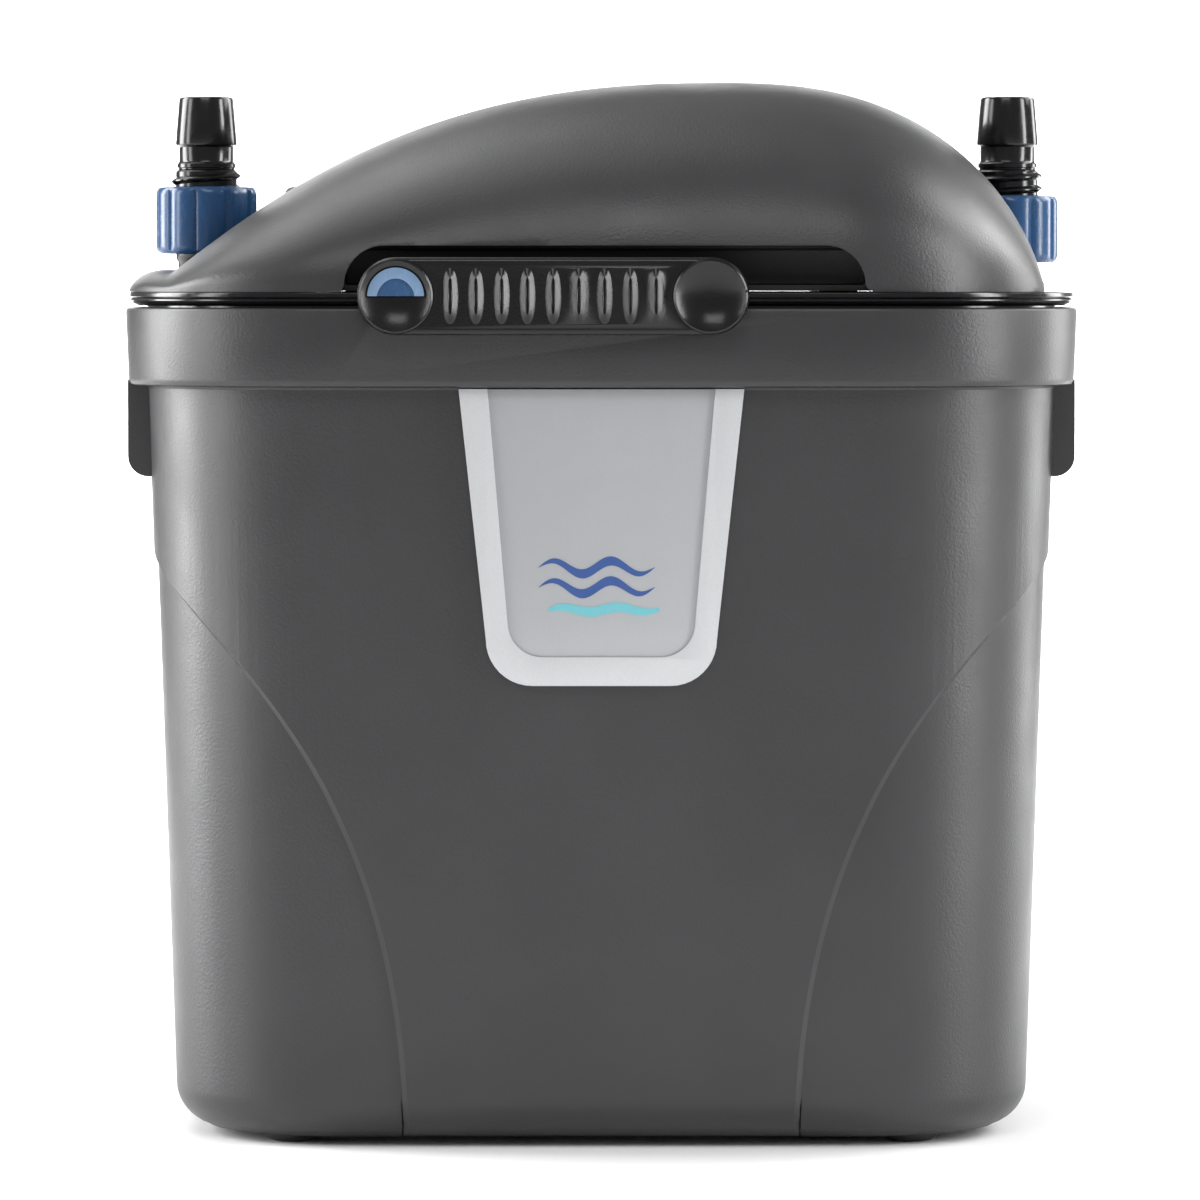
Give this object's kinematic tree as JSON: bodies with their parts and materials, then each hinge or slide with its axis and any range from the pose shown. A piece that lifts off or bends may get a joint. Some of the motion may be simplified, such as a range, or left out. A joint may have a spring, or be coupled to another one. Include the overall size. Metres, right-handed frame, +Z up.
{
  "type": "canister filter",
  "caption": "Aquarium canister filter: rounded bucket with baskets of foam, domed pump head, front slide lock and threaded hose connectors.",
  "frame": {"origin": "on the surface that the feet stand on, in the middle of the canister", "axes": "+Z up, -Y the front with the badge and the slide lock, +X to the right seen from the front"},
  "size_m": [0.21, 0.1612, 0.2325],
  "materials": {
    "grey_plastic": "fine-textured moulded plastic, satin",
    "black_plastic": "moulded plastic, matt",
    "gloss_black": "polished moulded plastic",
    "connector_blue": "glossy moulded plastic",
    "button_blue": "satin moulded plastic",
    "badge_silver": "silver painted, satin",
    "badge_grey": "printed film, satin",
    "seal_rubber": "matt",
    "basket_grey": "moulded plastic, satin",
    "blue_foam": "open-cell foam",
    "grey_foam": "open-cell foam",
    "white_floss": "matted fibre",
    "spring_steel": "bright",
    "core_steel": "laminated, varnished",
    "coil_wrap": "varnished winding tape",
    "magnet": "moulded ferrite",
    "ceramic": "polished ceramic"
  },
  "bodies": {
    "canister": {"canister": "grey_plastic", "foot_front_left": "seal_rubber", "foot_front_right": "seal_rubber", "foot_rear_left": "seal_rubber", "foot_rear_right": "seal_rubber", "badge_frame": "badge_silver", "badge_panel": "badge_grey", "downpipe": "basket_grey"},
    "lower_basket": {"lower_basket": "basket_grey", "coarse_foam": "blue_foam"},
    "upper_basket": {"upper_basket": "basket_grey", "fine_foam": "grey_foam", "polishing_pad": "white_floss", "basket_handle": "basket_grey"},
    "head": {"cable_gland": "seal_rubber", "head_seal": "seal_rubber", "hood": "grey_plastic", "hood_screw_front_left": "spring_steel", "hood_screw_front_right": "spring_steel", "hood_screw_rear_left": "spring_steel", "hood_screw_rear_right": "spring_steel", "inlet_duct": "black_plastic", "inlet_hose_tail": "gloss_black", "intake_screen": "black_plastic", "latch_channel": "black_plastic", "lid_plate": "black_plastic", "outlet_duct": "black_plastic", "outlet_hose_tail": "gloss_black", "pump_housing": "black_plastic", "pump_shaft": "ceramic", "shaft_bush_lower": "seal_rubber", "shaft_bush_upper": "seal_rubber", "stator_coil_front": "coil_wrap", "stator_coil_rear": "coil_wrap", "stator_core": "core_steel"},
    "left_clamp_ring": {"left_clamp_ring": "gloss_black"},
    "left_union_nut": {"left_union_nut": "connector_blue"},
    "right_clamp_ring": {"right_clamp_ring": "gloss_black"},
    "right_union_nut": {"right_union_nut": "connector_blue"},
    "lock_slide": {"lock_slide": "black_plastic", "slide_hook_left": "black_plastic", "slide_hook_right": "black_plastic", "button_spring": "spring_steel"},
    "lock_button": {"lock_button": "button_blue"},
    "impeller": {"impeller": "black_plastic", "rotor_magnet": "magnet"}
  },
  "joints": [
    {"name": "head_lift", "type": "slide", "parent": "canister", "child": "head", "axis": [0, 0, 1], "range_m": [0, 0.25]},
    {"name": "upper_basket_lift", "type": "slide", "parent": "canister", "child": "upper_basket", "axis": [0, 0, 1], "range_m": [0, 0.2125]},
    {"name": "lower_basket_lift", "type": "slide", "parent": "canister", "child": "lower_basket", "axis": [0, 0, 1], "range_m": [0, 0.1825]},
    {"name": "lock_slide_travel", "type": "slide", "parent": "head", "child": "lock_slide", "axis": [1, 0, 0], "range_m": [0, 0.0225]},
    {"name": "lock_button_press", "type": "slide", "parent": "lock_slide", "child": "lock_button", "axis": [0, 1, 0], "range_m": [0, 0.0015], "stiffness_N_per_m": 400, "springref_m": -0.0015, "deforming": ["button_spring"]},
    {"name": "left_ring_rise", "type": "slide", "parent": "head", "child": "left_clamp_ring", "axis": [0, 0, 1], "range_m": [0, 0.00732]},
    {"name": "left_nut_turn", "type": "hinge", "parent": "left_clamp_ring", "child": "left_union_nut", "pos_m": [-0.09, 0.024, 0.194], "axis": [0, 0, 1], "range_deg": [0, 900]},
    {"name": "right_ring_rise", "type": "slide", "parent": "head", "child": "right_clamp_ring", "axis": [0, 0, 1], "range_m": [0, 0.00732]},
    {"name": "right_nut_turn", "type": "hinge", "parent": "right_clamp_ring", "child": "right_union_nut", "pos_m": [0.0925, 0.024, 0.194], "axis": [0, 0, 1], "range_deg": [0, 900]},
    {"name": "impeller_spin", "type": "hinge", "parent": "head", "child": "impeller", "pos_m": [0.02, 0, 0.1857], "axis": [0, 0, 1], "continuous": true}
  ],
  "couplings": [
    {"joint": "upper_basket_lift", "follows": "head_lift", "ratio": 0.84},
    {"joint": "lower_basket_lift", "follows": "head_lift", "ratio": 0.72},
    {"joint": "left_ring_rise", "follows": "left_nut_turn", "m_per_rad": 0.00045359},
    {"joint": "right_ring_rise", "follows": "right_nut_turn", "m_per_rad": 0.00045359}
  ]
}
